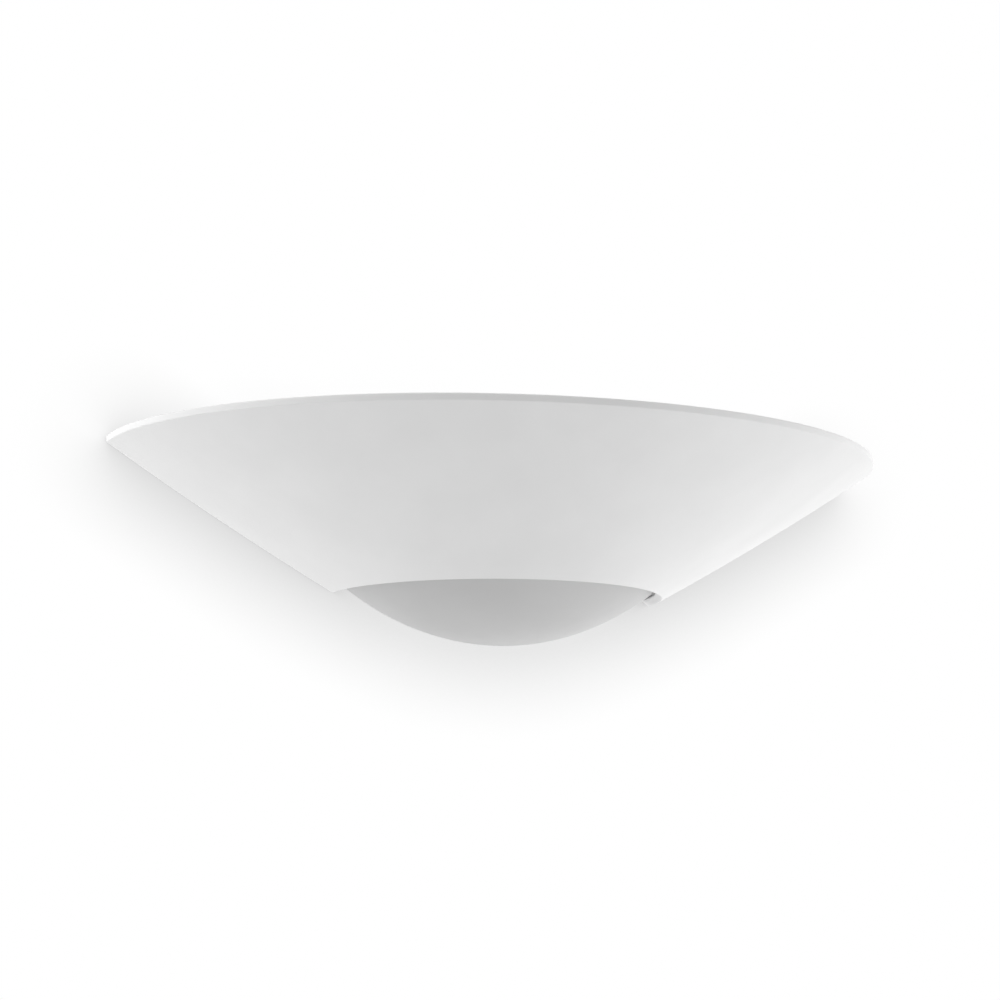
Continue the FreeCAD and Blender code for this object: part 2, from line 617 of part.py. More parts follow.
def wire_clip(x):
    """A moulded saddle that holds both wires and snaps into a hole in the plate."""
    run_y = PLATE_FRONT_Y - WIRE_R - 1.2
    saddle = rounded_y(box((x - 3.5, x + 3.5), (run_y - 2.6, PLATE_FRONT_Y), (3.2, LIVE_Z + 2.3)), 1.0)
    for z in (LIVE_Z, NEUTRAL_Z):
        saddle = saddle.cut(rod(WIRE_R + 0.05, (x - 5, run_y, z), (x + 5, run_y, z)))
    saddle = saddle.cut(box((x - 5, x + 5), (run_y - 4, PLATE_FRONT_Y - 2.0), (3, 7.6)))
    leg = rod(2.0, (x, PLATE_FRONT_Y, CLIP_LEG_Z), (x, PLATE_FRONT_Y + 3.6, CLIP_LEG_Z))
    barb = Part.makeCone(2.6, 1.6, 1.8, V(x, PLATE_FRONT_Y + PLATE_STEEL, CLIP_LEG_Z), Y_AXIS)
    return saddle.fuse([leg, barb])


def globe_profile(inset):
    """Lines and arcs of the globe in X and Z, from the neck to the tip, moved in by inset."""
    radius = GLOBE_R - inset
    neck_curve = NECK_CURVE_R + inset
    centre_x = LAMP_TIP_X + LAMP_LENGTH - GLOBE_R
    run = math.sqrt((GLOBE_R + NECK_CURVE_R) ** 2 - (NECK_R + NECK_CURVE_R) ** 2)
    neck_x = centre_x - run
    curve_centre = V(neck_x, AXIS_Y, AXIS_Z + NECK_R + NECK_CURVE_R)
    ball_centre = V(centre_x, AXIS_Y, AXIS_Z)
    towards = (curve_centre - ball_centre).normalize()
    joint = ball_centre + towards * radius
    start = V(neck_x, AXIS_Y, AXIS_Z + NECK_R - inset)
    halfway = (start - curve_centre).normalize() + (joint - curve_centre).normalize()
    bow = curve_centre + halfway.normalize() * neck_curve
    reach = math.sqrt(radius**2 - GLOBE_TIP_R**2)
    tip = ball_centre + V(reach, 0, GLOBE_TIP_R)
    crown = ball_centre + (towards + X_AXIS).normalize() * radius
    return start, Part.Arc(start, bow, joint).toShape(), Part.Arc(joint, crown, tip).toShape(), tip


def globe_solid(inset):
    start, neck, crown, tip = globe_profile(inset)
    collar = V(GLOBE_END_X, AXIS_Y, start.z)
    foot = V(collar.x, AXIS_Y, AXIS_Z)
    end = V(tip.x, AXIS_Y, AXIS_Z)
    edges = [Part.LineSegment(foot, collar).toShape(), Part.LineSegment(collar, start).toShape(), neck,
             crown, Part.LineSegment(tip, end).toShape(), Part.LineSegment(end, foot).toShape()]
    face = Part.Face(Part.Wire(edges))
    return face.revolve(V(0, AXIS_Y, AXIS_Z), X_AXIS, 360)


def lamp_globe():
    """The thin glass envelope, open at the neck."""
    return globe_solid(0).cut(globe_solid(GLOBE_THICK))


def lamp_cap():
    """The screw cap: a thin shell with a ridge for each turn of its thread."""
    start = LAMP_TIP_X + 4.2
    profile = [(start, 10.6), (start + 0.6, THREAD_ROOT_R)]
    for turn in range(4):
        x = start + 1.2 + turn * THREAD_PITCH
        profile += [(x, THREAD_ROOT_R), (x + 1.1, THREAD_CREST_R)]
        profile += [(x + 2.0, THREAD_CREST_R), (x + 3.1, THREAD_ROOT_R)]
    collar = start + 1.2 + 4 * THREAD_PITCH
    mouth = GLOBE_END_X + 5.0
    step = GLOBE_END_X - 0.2
    inside = THREAD_ROOT_R - 0.5
    profile += [(collar + 1.2, THREAD_CREST_R), (mouth, THREAD_CREST_R + 0.2), (mouth, NECK_R)]
    profile += [(step, NECK_R), (step, inside), (start + 0.6, inside), (start, 10.1)]
    return turned_x(profile)


def lamp_insulator():
    start = LAMP_TIP_X + 4.2
    return turned_x([(LAMP_TIP_X + 0.9, 0), (LAMP_TIP_X + 0.9, 4.4), (start, 9.7), (start + 0.5, 9.7),
                     (start + 0.5, 0)])


def lamp_contact():
    return turned_x([(LAMP_TIP_X, 0), (LAMP_TIP_X, 2.6), (LAMP_TIP_X + 0.9, 4.2), (LAMP_TIP_X + 0.9, 0)])


def lamp_stem():
    """The glass mount inside the neck: a flare, a tube and a flattened pinch."""
    flare = turned_x([(-30.5, 0), (-30.5, 11.4), (-29.8, 11.4), (-26.0, 6.0), (-20.0, 3.6), (-8.0, 3.2),
                      (-8.0, 0)])
    pinch = box((-9.0, STEM_END_X), (AXIS_Y - 4.0, AXIS_Y + 4.0), (AXIS_Z - 1.4, AXIS_Z + 1.4))
    return flare.fuse(pinch)


def lamp_lead_wires():
    wires = []
    for side in (-1, 1):
        y = AXIS_Y + side * 3.0
        end = (FILAMENT_X, AXIS_Y + side * FILAMENT_HALF, AXIS_Z)
        bend = (FILAMENT_X - 3.0, AXIS_Y + side * FILAMENT_HALF, AXIS_Z)
        route = [(STEM_END_X, y, AXIS_Z), (STEM_END_X + 3, y, AXIS_Z), bend, end]
        wires.append(tube(route, [2.0, 1.0], 0.3))
    return wires


def lamp_filament():
    """The lamp's filament, bowed between the ends of its lead wires."""
    near = AXIS_Y - FILAMENT_HALF
    far = AXIS_Y + FILAMENT_HALF
    crown = FILAMENT_X + 3.5
    route = [(FILAMENT_X, near, AXIS_Z), (crown, near, AXIS_Z), (crown, far, AXIS_Z),
             (FILAMENT_X, far, AXIS_Z)]
    return tube(route, [3.0, 3.0], 0.4)


os.makedirs("parts", exist_ok=True)
export("ceramic_shade", ceramic_shade())
export("wall_pads", wall_pads())
export("glass_cushions", glass_cushions())
export("glass_bowl", glass_bowl())
export("back_plate", back_plate())
export("hook_brackets", [hook_bracket(), mirrored(hook_bracket())])
export("hook_rivets", hook_rivets() + [mirrored(rivet) for rivet in hook_rivets()])
export("hook_sleeves", [hook_sleeve(), mirrored(hook_sleeve())])
export("cable_grommet", cable_grommet())
export("terminal_block", terminal_block())
export("terminal_barrels", [terminal_barrel(x) for x in POLE_X])
export("terminal_screws", [terminal_screw(x, z) for x in POLE_X for z in (-TERMINAL_Z, TERMINAL_Z)])
export("terminal_block_screws", terminal_block_screws())
export("terminal_block_nuts", [nut_behind_plate(x, 0, 5.5, 2.4, 1.5) for x in BLOCK_SCREW_X])
export("earth_screw", earth_screw())
export("earth_washer", earth_washer())
export("earth_ring_tag", earth_ring_tag())
export("earth_nut", nut_behind_plate(EARTH_X, 0, 7.0, 3.2, 2.0))
export("earth_wire", earth_wire())
export("lampholder_arm", lampholder_arm())
export("arm_screws", arm_screws())
export("arm_nuts", [nut_behind_plate(x, AXIS_Z, 7.0, 3.2, 2.0) for x in ARM_SCREW_X])
export("holder_nipple", holder_nipple())
export("nipple_nut", nipple_nut())
export("nipple_washer", nipple_washer())
export("holder_cap", holder_cap())
export("holder_insert", holder_insert())
export("holder_terminal_screws", holder_terminal_screws())
export("holder_skirt", holder_skirt())
export("holder_screw_shell", holder_screw_shell())
export("holder_centre_contact", holder_centre_contact())
export("holder_side_contact", holder_side_contact())
export("live_wire", lamp_wire(-1, LIVE_Z, -105.0, 9.5, 0.0))
export("neutral_wire", lamp_wire(1, NEUTRAL_Z, -101.5, 7.0, 2.5))
export("wire_clips", [wire_clip(x) for x in CLIP_X])
export("lamp_globe", lamp_globe())
export("lamp_cap", lamp_cap())
export("lamp_insulator", lamp_insulator())
export("lamp_contact", lamp_contact())
export("lamp_stem", lamp_stem())
export("lamp_lead_wires", lamp_lead_wires())
export("lamp_filament", lamp_filament())
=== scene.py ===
import json
import math

import bmesh
import bpy
import numpy as np
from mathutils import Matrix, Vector


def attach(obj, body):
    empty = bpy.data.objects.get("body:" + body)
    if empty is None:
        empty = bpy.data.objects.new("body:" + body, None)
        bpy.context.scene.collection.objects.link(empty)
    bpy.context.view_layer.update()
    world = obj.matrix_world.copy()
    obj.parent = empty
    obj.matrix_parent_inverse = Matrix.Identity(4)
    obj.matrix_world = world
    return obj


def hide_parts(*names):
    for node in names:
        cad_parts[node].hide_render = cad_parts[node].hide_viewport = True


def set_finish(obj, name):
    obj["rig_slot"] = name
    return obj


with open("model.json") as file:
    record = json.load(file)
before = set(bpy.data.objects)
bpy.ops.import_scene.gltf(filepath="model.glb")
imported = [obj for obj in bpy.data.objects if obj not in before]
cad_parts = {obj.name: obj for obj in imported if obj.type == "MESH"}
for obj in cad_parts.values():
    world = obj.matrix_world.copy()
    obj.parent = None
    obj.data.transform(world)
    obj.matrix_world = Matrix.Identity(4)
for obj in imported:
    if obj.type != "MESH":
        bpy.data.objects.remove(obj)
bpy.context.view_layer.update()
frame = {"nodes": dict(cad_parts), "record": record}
nodes = frame["nodes"]

MM = 0.001

# the shade and its dish, in millimetres, as the construction has them
RIM_Z = 23.0
RIM_HALF_WIDTH = 185.0
RIM_DEPTH = 155.2
RIM_BAND = 3.1
SHADE_HEIGHT = 66.5
OPENING_R = 79.1
BELLY = 2.3
WALL_RISE = 5.6
SHADE_BACK_Y = -0.8
EDGE_SLOPE = (0.785, 0.620)
GLASS_R = 124.0
GLASS_THICK = 3.0
GLASS_GAP = 1.0
GLASS_CENTRE_Z = RIM_Z - SHADE_HEIGHT - 21.9 + GLASS_R
GLASS_RIM_R = 80.0
GLASS_BACK_Y = -2.0
EAR_X = (99.0, 129.0)
EAR_Y = (-17.0, -10.0)
EAR_TOP = 12.0
EAR_WINDOW = ((106.4, 121.6), (-6.0, 3.8))
HOOK_X = 114.0
HOOK_SHELF_TOP = 2.5

# the soft pieces: silicone dots as (radius, height), felt pads and the hooks' silicone
DOT_ANGLES = (210, 270, 330)
DOT_PROFILE = ((2.42, 0.02), (2.46, 0.16), (2.36, 0.32), (2.05, 0.47), (1.5, 0.58), (0.8, 0.65))
DOT_AROUND = 40
PAD_PLACES = (0.22, 0.80)
PAD_LENGTH = 23.2
PAD_HALF_WIDTH = 1.3
PAD_HALF_THICK = 0.33
SLEEVE_START_Y = -7.85
SLEEVE_BEND_Y = -16.25
SLEEVE_BEND_R = 1.63
SLEEVE_UPSTAND = 2.6
SLEEVE_HALF_WIDTH = 6.65
SLEEVE_HALF_THICK = 0.48
STRIP_AROUND = 32

# the lamp's cap, which lies along X
LAMP_AXIS = (-46.0, -6.0)
LAMP_TIP_X = -55.2
CAP_START_X = LAMP_TIP_X + 4.2
CAP_MOUTH_X = -29.0
THREAD_PITCH = 3.629
THREAD_CREST_R = 13.1
THREAD_ROOT_R = 11.9


# ---------------------------------------------------------------- meshes

def mesh_object(name, points, faces, body, slot):
    """A smooth-shaded piece from points in millimetres; points that lie on each other become one."""
    points = np.asarray(points, float)
    keys, kept, back = np.unique(np.round(points, 4), axis=0, return_index=True, return_inverse=True)
    back = back.reshape(-1)
    clean = []
    for face in faces:
        loop = [int(back[i]) for i in face]
        loop = [v for i, v in enumerate(loop) if v != loop[i - 1]]
        if len(set(loop)) > 2:
            clean.append(loop)
    mesh = bpy.data.meshes.new(name)
    mesh.from_pydata([tuple(p) for p in points[kept] * MM], [], clean)
    mesh.validate()
    work = bmesh.new()
    work.from_mesh(mesh)
    if work.calc_volume(signed=True) < 0:
        bmesh.ops.reverse_faces(work, faces=work.faces[:])
        work.to_mesh(mesh)
    work.free()
    mesh.polygons.foreach_set("use_smooth", [True] * len(mesh.polygons))
    piece = bpy.data.objects.new(name, mesh)
    bpy.context.scene.collection.objects.link(piece)
    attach(piece, body)
    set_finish(piece, slot)
    return piece


def grid_faces(rows, columns, closed_rows=False, start=0):
    """Faces between points laid out row by row; closed_rows joins the last row to the first."""
    faces = []
    for i in range(rows if closed_rows else rows - 1):
        below = start + i * columns
        above = start + ((i + 1) % rows) * columns
        for j in range(columns - 1):
            faces.append((below + j, below + j + 1, above + j + 1, above + j))
    return faces


def unit(v):
    return v / np.linalg.norm(v)


def rounded_loop(corners, steps=5, guard=0.25):
    """A closed line through (point, radius) corners. A corner with a radius is turned on an arc, with a
    point just before and after it that keeps the shading of the long faces flat."""
    line = []
    for i, (p, radius) in enumerate(corners):
        if radius == 0:
            line.append(p)
            continue
        before = unit(corners[i - 1][0] - p)
        after = unit(corners[(i + 1) % len(corners)][0] - p)
        half = math.acos(np.clip(np.dot(before, after), -1, 1)) / 2
        reach = radius / math.tan(half)
        centre = p + unit(before + after) * radius / math.sin(half)
        first = unit(p + before * reach - centre)
        last = unit(p + after * reach - centre)
        line.append(p + before * (reach + guard))
        for step in range(steps + 1):
            share = step / steps
            span = math.pi - 2 * half
            line.append(centre + radius * (first * math.sin((1 - share) * span)
                                           + last * math.sin(share * span)) / math.sin(span))
        line.append(p + after * (reach + guard))
    return np.array(line)


def outline_radius(down, turn):
    """How far out the slope is in plan, at a share of the way down it and in one direction."""
    swell = BELLY * 4 * down * (1 - down)
    half_width = RIM_HALF_WIDTH + (OPENING_R - RIM_HALF_WIDTH) * down + swell
    depth = RIM_DEPTH + (OPENING_R - RIM_DEPTH) * down + swell
    return 1 / math.hypot(math.cos(turn) / half_width, math.sin(turn) / depth)


def slope_z(down):
    return RIM_Z - RIM_BAND - (SHADE_HEIGHT - RIM_BAND) * down


def slope_share(z):
    return (RIM_Z - RIM_BAND - z) / (SHADE_HEIGHT - RIM_BAND)


def seat_z(radius):
    return GLASS_CENTRE_Z - math.sqrt((GLASS_R + GLASS_GAP) ** 2 - radius**2)


def inner_z(x, y):
    """Height of the inside of the slope over a point of the plan."""
    turn = math.atan2(-y, x)
    radius = math.hypot(x, y)
    low, high = 0.0, 1.0
    for _ in range(30):
        middle = (low + high) / 2
        if outline_radius(middle, turn) > radius:
            low = middle
        else:
            high = middle
    return slope_z(low) + WALL_RISE


def shade_profile(turn):
    """The wall of the shade cut in one direction from the middle, as (radius, z) points."""
    rim = outline_radius(0, turn)
    bottom = RIM_Z - SHADE_HEIGHT
    inward, upward = EDGE_SLOPE
    low, high = 0.0, 10.0
    for _ in range(40):
        run = (low + high) / 2
        if seat_z(OPENING_R - run * inward) > bottom + run * upward:
            low = run
        else:
            high = run
    cut_top = np.array([OPENING_R - run * inward, bottom + run * upward])
    low, high = OPENING_R + 0.5, OPENING_R + 5
    for _ in range(40):
        radius = (low + high) / 2
        if outline_radius(slope_share(seat_z(radius) - WALL_RISE), turn) > radius:
            high = radius
        else:
            low = radius
    seat_end = np.array([radius, seat_z(radius)])
    corners = [(np.array([rim, RIM_Z]), 0.9), (np.array([rim, RIM_Z - RIM_BAND]), 0.6)]
    for step in range(1, 30):
        corners.append((np.array([outline_radius(step / 30, turn), slope_z(step / 30)]), 0))
    corners += [(np.array([OPENING_R, bottom]), 0.5), (cut_top, 0.5)]
    for step in range(1, 4):
        radius = cut_top[0] + (seat_end[0] - cut_top[0]) * step / 4
        corners.append((np.array([radius, seat_z(radius)]), 0))
    corners.append((seat_end, 0))
    low_share = slope_share(seat_end[1] - WALL_RISE)
    high_share = slope_share(RIM_Z - WALL_RISE)
    for step in range(1, 30):
        down = low_share + (high_share - low_share) * step / 30
        corners.append((np.array([outline_radius(down, turn), slope_z(down) + WALL_RISE]), 0))
    corners.append((np.array([outline_radius(high_share, turn), RIM_Z]), 0.9))
    return rounded_loop(corners)


def loop_normals(line):
    """Outward directions of a closed line in its own plane."""
    along = np.roll(line, -1, axis=0) - np.roll(line, 1, axis=0)
    out = np.stack([along[:, 1], -along[:, 0]], axis=1)
    out /= np.linalg.norm(out, axis=1)[:, None]
    area = np.sum(line[:, 0] * np.roll(line[:, 1], -1) - np.roll(line[:, 0], -1) * line[:, 1])
    return out if area > 0 else -out


def shade_shell():
    """The half-bowl: one wall profile carried round from wall to wall, with softened back edges."""
    turns = 300
    edge = 0.5
    points = []
    rings = 0

    def ring(turn, share, inset, back_y):
        line = shade_profile(turn)
        if inset:
            line = line - loop_normals(line) * inset
        for radius, z in line:
            start = math.asin(-back_y / radius)
            angle = start + (math.pi - 2 * start) * share
            points.append((radius * math.cos(angle), -radius * math.sin(angle), z))
        return len(line)

    ease = [math.radians(a) for a in (90, 60, 30)]
    for angle in ease:
        count = ring(0.0, 0.0, edge * (1 - math.cos(angle)), SHADE_BACK_Y - edge * (1 - math.sin(angle)))
        rings += 1
    for step in range(turns + 1):
        share = step / turns
        ring(math.pi * share, share, 0, SHADE_BACK_Y - edge)
        rings += 1
    for angle in reversed(ease):
        ring(math.pi, 1.0, edge * (1 - math.cos(angle)), SHADE_BACK_Y - edge * (1 - math.sin(angle)))
        rings += 1
    faces = []
    for i in range(rings - 1):
        for j in range(count):
            k = (j + 1) % count
            faces.append((i * count + j, i * count + k, (i + 1) * count + k, (i + 1) * count + j))
    faces.append(tuple(range(count))[::-1])
    faces.append(tuple((rings - 1) * count + j for j in range(count)))
    return points, faces


def ear_outline(centre, inside):
    """Where rays from the centre leave a shape, for 96 directions in X and Z."""
    found = []
    for step in range(96):
        angle = 2 * math.pi * (step + 0.5) / 96
        ray = np.array([math.cos(angle), math.sin(angle)])
        low, high = 0.0, 60.0
        for _ in range(40):
            reach = (low + high) / 2
            if inside(*(centre + ray * reach)):
                low = reach
            else:
                high = reach
        found.append(centre + ray * low)
    return found


def shade_ear(side):
    """A hanging ear: a slab with a window, its edges softened and its foot flared into the shell."""
    centre = np.array([sum(EAR_WINDOW[0]) / 2, sum(EAR_WINDOW[1]) / 2])
    mid_y = sum(EAR_Y) / 2
    half_y = (EAR_Y[1] - EAR_Y[0]) / 2

    def in_box(x, z, box_x, box_z, radius):
        dx = max(box_x[0] + radius - x, x - box_x[1] + radius, 0)
        dz = max(box_z[0] + radius - z, z - box_z[1] + radius, 0)
        return math.hypot(dx, dz) <= radius

    def in_slab(x, z):
        return in_box(x, z, EAR_X, (-60, EAR_TOP), 3.0) and z > inner_z(x, mid_y) - 2.5

    def in_window(x, z):
        return in_box(x, z, *EAR_WINDOW, 1.0)

    outer = ear_outline(centre, in_slab)
    inner = ear_outline(centre, in_window)
    soft = 0.9
    flare = 3.0
    points = []
    for a, b in zip(outer, inner):
        width = np.linalg.norm(b - a)
        across = (b - a) / width
        corners = [(np.array([0.0, -half_y]), soft), (np.array([width, -half_y]), soft),
                   (np.array([width, half_y]), soft), (np.array([0.0, half_y]), soft)]
        line = []
        for i, (p, radius) in enumerate(corners):
            line.append((p, radius))
            ahead = corners[(i + 1) % 4][0]
            for step in range(1, 6):
                line.append((p + (ahead - p) * step / 6, 0))
        loop = rounded_loop(line, steps=4, guard=0.02)
        out = loop_normals(loop)
        for (s, y), (out_s, out_y) in zip(loop, out):
            x, z = a + across * s
            height = z - inner_z(x, mid_y + y)
            grow = 0.0
            if height < flare:
                grow = flare - math.sqrt(flare**2 - (flare - max(height, 0.0)) ** 2)
            push_x = across[0] * out_s
            x += grow * push_x
            y += grow * out_y
            points.append((side * x, mid_y + y, z))
    count = len(points) // 96
    faces = []
    for i in range(96):
        for j in range(count):
            k = (j + 1) % count
            ahead = ((i + 1) % 96) * count
            face = (i * count + j, i * count + k, ahead + k, ahead + j)
            faces.append(face if side < 0 else face[::-1])
    return points, faces


def glass_dish():
    """The half-dish: two sheets of a ball, a rounded rim all along the arc and a ground edge at the wall."""
    columns = 200
    rows = [0.0, 0.008] + [i / 48 for i in range(1, 48)] + [0.992, 1.0]
    edge = 0.7
    back = GLASS_BACK_Y - edge
    rim_z = GLASS_CENTRE_Z - math.sqrt(GLASS_R**2 - GLASS_RIM_R**2)
    outer_r, inner_r = 78.31, 75.05

    def ball_z(x, y, radius):
        return GLASS_CENTRE_Z - math.sqrt(radius**2 - x * x - y * y)

    points = []
    faces = []

    def sheet(reach, radius, flip):
        start = len(points)
        tip = math.asin(-back / reach)
        for i in range(columns + 1):
            angle = tip + (math.pi - 2 * tip) * i / columns
            x = reach * math.cos(angle)
            for share in rows:
                y = back + (-reach * math.sin(angle) - back) * share
                points.append((x, y, ball_z(x, y, radius)))
        new = grid_faces(columns + 1, len(rows), start=start)
        faces.extend([f[::-1] for f in new] if flip else new)

    sheet(outer_r, GLASS_R, False)
    sheet(inner_r, GLASS_R - GLASS_THICK, True)

    centre = np.array([77.8, rim_z - 0.8])
    section = []
    for angle in (-50, -22, 6, 34, 62, 90):
        a = math.radians(angle)
        section.append(centre + 0.8 * np.array([math.cos(a), math.sin(a)]))
    section += [np.array([75.55, rim_z]), np.array([75.38, rim_z - 0.03]), np.array([75.2, rim_z - 0.1]),
                np.array([inner_r, ball_z(inner_r, 0, GLASS_R - GLASS_THICK)])]
    section[0] = np.array([outer_r, ball_z(outer_r, 0, GLASS_R)])
    start = len(points)
    for i in range(columns + 1):
        for radius, z in section:
            tip = math.asin(-back / radius)
            angle = tip + (math.pi - 2 * tip) * i / columns
            points.append((radius * math.cos(angle), -radius * math.sin(angle), z))
    faces.extend(grid_faces(columns + 1, len(section), start=start))
    arc_start = start
    start = len(points)
    for i in range(columns + 1):
        low_tip = math.asin(-back / outer_r)
        high_tip = math.asin(-back / inner_r)
        low_x = outer_r * math.cos(low_tip + (math.pi - 2 * low_tip) * i / columns)
        high_x = inner_r * math.cos(high_tip + (math.pi - 2 * high_tip) * i / columns)
        low = np.array([low_x, back, ball_z(low_x, back, GLASS_R)])
        high = np.array([high_x, back, ball_z(high_x, back, GLASS_R - GLASS_THICK)])
        thick = np.linalg.norm(high - low)
        up = (high - low) / thick
        for angle in (0, 22.5, 45, 67.5, 90, 90, 67.5, 45, 22.5, 0):
            a = math.radians(angle)
            depth = edge * (1 - math.cos(a))
            far = len(points) - start - i * 10 >= 5
            points.append(tuple(low + up * (thick - depth if far else depth)
                                + np.array([0, edge * math.sin(a), 0])))
    faces.extend(f[::-1] for f in grid_faces(columns + 1, 10, start=start))
    for end, flip in ((0, False), (columns, True)):
        for k in range(9):
            a = arc_start + end * 10 + k
            b = start + end * 10 + k
            face = (a, a + 1, b + 1, b)
            faces.append(face if flip else face[::-1])
    return points, faces


def thread_radius(x, turn):
    """The rolled thread of the lamp cap: a soft wave that climbs one pitch each turn."""
    along = x - CAP_START_X - 1.2
    if along < 0:
        return THREAD_ROOT_R
    wave = 0.5 - 0.5 * math.cos(2 * math.pi * (along / THREAD_PITCH - turn / (2 * math.pi)))
    crest = wave**0.75
    fade = min(1.0, along / 2.0) * min(1.0, max(0.0, (CAP_MOUTH_X - 5.5 - x) / 1.5))
    if x > CAP_MOUTH_X - 7.0:
        collar = min(1.0, (x - CAP_MOUTH_X + 7.0) / 1.5)
        return THREAD_ROOT_R + (THREAD_CREST_R - THREAD_ROOT_R) * max(crest * fade, collar)
    return THREAD_ROOT_R + (THREAD_CREST_R - THREAD_ROOT_R) * crest * fade


def threaded_cap():
    """The screw cap as a thin closed shell with a true spiral thread."""
    around = 128
    lengths = [CAP_START_X + 0.6 + (CAP_MOUTH_X - CAP_START_X - 0.6) * i / 110 for i in range(111)]
    profile = [("plain", CAP_START_X, 10.6)] + [("thread", x, 0) for x in lengths]
    profile += [("plain", CAP_MOUTH_X, THREAD_CREST_R + 0.1), ("plain", CAP_MOUTH_X, 12.8),
                ("plain", -34.2, 12.8), ("plain", -34.2, 11.4), ("plain", CAP_START_X + 0.6, 11.4),
                ("plain", CAP_START_X, 10.1)]
    points = []
    for kind, x, radius in profile:
        for i in range(around + 1):
            turn = 2 * math.pi * i / around
            r = thread_radius(x, turn) if kind == "thread" else radius
            points.append((x, LAMP_AXIS[0] + r * math.cos(turn), LAMP_AXIS[1] + r * math.sin(turn)))
    faces = [f[::-1] for f in grid_faces(len(profile), around + 1, closed_rows=True)]
    return points, faces


def soft_strip(path, side_way, half_width, half_thick, edge):
    """A closed strip with rounded edges and ends: one section carried along the middle line of a path."""
    path = np.asarray(path, float)
    side_way = unit(np.asarray(side_way, float))
    thick = np.broadcast_to(half_thick, len(path))
    ahead = np.gradient(path, axis=0)
    last = len(path) - 1
    ends = [math.radians(a) for a in (10, 35, 65)]
    steps = [(0, turn, 1) for turn in ends] + [(i, math.pi / 2, 0) for i in range(len(path))]
    steps += [(last, turn, -1) for turn in reversed(ends)]
    points = []
    for i, turn, inward in steps:
        forward = unit(ahead[i])
        across = np.cross(side_way, forward)
        shrink = edge * (1 - math.sin(turn))
        place = path[i] + forward * inward * edge * (1 - math.cos(turn))
        for step in range(STRIP_AROUND):
            a = 2 * math.pi * step / STRIP_AROUND
            u, w = math.cos(a), math.sin(a)
            flat_u = math.copysign(abs(u) ** 0.35, u) * (half_width - shrink)
            flat_w = math.copysign(abs(w) ** 0.55, w) * (thick[i] - shrink * 0.6)
            points.append(place + side_way * flat_u + across * flat_w)
    faces = []
    for i in range(len(steps) - 1):
        for j in range(STRIP_AROUND):
            k = (j + 1) % STRIP_AROUND
            near, far = i * STRIP_AROUND, (i + 1) * STRIP_AROUND
            faces.append((near + j, far + j, far + k, near + k))
    faces.append(tuple(range(STRIP_AROUND)))
    faces.append(tuple((len(steps) - 1) * STRIP_AROUND + j for j in range(STRIP_AROUND))[::-1])
    return points, faces


def joined(parts):
    """Several closed meshes as one piece."""
    points, faces = [], []
    for more, loops in parts:
        start = len(points)
        points.extend(more)
        faces.extend(tuple(start + i for i in loop) for loop in loops)
    return points, faces


def felt_pads():
    """Four felt strips on the shade's back edge, a little uneven where they were cut."""
    drop = math.atan2(SHADE_HEIGHT - RIM_BAND, RIM_HALF_WIDTH - OPENING_R)
    parts = []
    for down in PAD_PLACES:
        for side in (1, -1):
            middle = np.array([side * outline_radius(down, 0.0), (SHADE_BACK_Y - 0.12) / 2,
                               slope_z(down) + WALL_RISE / 2])
            way = np.array([side * math.cos(drop), 0.0, math.sin(drop)])
            across = np.array([-way[2], 0.0, way[0]])
            line = []
            for step in range(25):
                t = step / 24
                sway = 0.06 * math.sin(7 * t + 3 * side + 5 * down)
                line.append(middle + way * (t - 0.5) * PAD_LENGTH + across * sway)
            parts.append(soft_strip(line, across, PAD_HALF_WIDTH, PAD_HALF_THICK, 0.3))
    return joined(parts)


def sleeve_strips():
    """The silicone on both hooks: flat along the shelf, then bent up behind the lip."""
    parts = []
    bend_z = HOOK_SHELF_TOP + 0.5 + SLEEVE_BEND_R
    for side in (1, -1):
        line, thick = [], []
        for step in range(13):
            y = SLEEVE_START_Y + (SLEEVE_BEND_Y - SLEEVE_START_Y) * step / 12
            line.append((side * HOOK_X, y, HOOK_SHELF_TOP + 0.5))
            thick.append(SLEEVE_HALF_THICK)
        for step in range(1, 9):
            a = math.pi / 2 * step / 8
            line.append((side * HOOK_X, SLEEVE_BEND_Y - SLEEVE_BEND_R * math.sin(a),
                         bend_z - SLEEVE_BEND_R * math.cos(a)))
            thick.append(SLEEVE_HALF_THICK - 0.2 * step / 8)
        for step in range(1, 9):
            line.append((side * HOOK_X, SLEEVE_BEND_Y - SLEEVE_BEND_R, bend_z + SLEEVE_UPSTAND * step / 8))
            thick.append(SLEEVE_HALF_THICK - 0.2)
        parts.append(soft_strip(line, (1.0, 0.0, 0.0), SLEEVE_HALF_WIDTH, thick, 0.25))
    return joined(parts)


def glass_dots():
    """Three low silicone domes that the glass rests on."""
    reach = GLASS_R + GLASS_GAP
    tilt = math.asin((OPENING_R - 1.2) / reach)
    centre = np.array([0.0, 0.0, GLASS_CENTRE_Z])
    parts = []
    for degrees in DOT_ANGLES:
        turn = math.radians(degrees)
        out = np.array([math.sin(tilt) * math.cos(turn), math.sin(tilt) * math.sin(turn), -math.cos(tilt)])
        first = unit(np.cross(out, np.array([0.0, 0.0, 1.0])))
        second = np.cross(out, first)
        points = []
        for radius, height in DOT_PROFILE:
            for step in range(DOT_AROUND):
                a = 2 * math.pi * step / DOT_AROUND
                points.append(centre + out * (reach - height) + (first * math.cos(a) + second * math.sin(a))
                              * radius)
        faces = []
        for i in range(len(DOT_PROFILE) - 1):
            for j in range(DOT_AROUND):
                k = (j + 1) % DOT_AROUND
                near, far = i * DOT_AROUND, (i + 1) * DOT_AROUND
                faces.append((near + j, near + k, far + k, far + j))
        faces.append(tuple(range(DOT_AROUND))[::-1])
        faces.append(tuple((len(DOT_PROFILE) - 1) * DOT_AROUND + j for j in range(DOT_AROUND)))
        parts.append((points, faces))
    return joined(parts)


